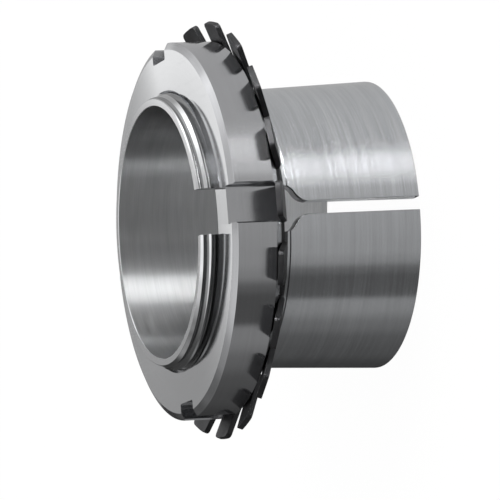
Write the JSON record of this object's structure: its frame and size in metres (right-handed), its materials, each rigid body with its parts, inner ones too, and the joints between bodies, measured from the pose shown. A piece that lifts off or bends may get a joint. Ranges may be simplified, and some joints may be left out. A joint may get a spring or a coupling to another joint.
{
  "type": "bearing adapter sleeve",
  "caption": "Slit tapered sleeve that clamps a tapered-bore bearing on a plain shaft, with a threaded end, a notched round lock nut and a tab washer.",
  "frame": {"origin": "centre of the sleeve's bore at its large end face", "axes": "+Z along the sleeve's axis from the large end to the threaded end, -Y towards the slit and the keyway"},
  "size_m": [0.0832, 0.083, 0.045],
  "materials": {
    "sleeve_steel": "ground, with fine cross scratches",
    "nut_steel": "fine turned, nearly mirror bright",
    "washer_steel": "dark, smooth rolled"
  },
  "bodies": {
    "sleeve": {"sleeve": "sleeve_steel"},
    "washer": {"lock_washer": "washer_steel"},
    "nut": {"lock_nut": "nut_steel"}
  },
  "joints": [
    {"name": "washer_slide", "type": "slide", "parent": "sleeve", "child": "washer", "axis": [0, 0, 1], "range_m": [-0.0024, 0.012]},
    {"name": "nut_turn", "type": "hinge", "parent": "washer", "child": "nut", "pos_m": [0, 0, 0.0363], "axis": [0, 0, 1], "range_deg": [-432, 2160]}
  ],
  "couplings": [
    {"joint": "washer_slide", "follows": "nut_turn", "m_per_rad": 0.00031831}
  ]
}
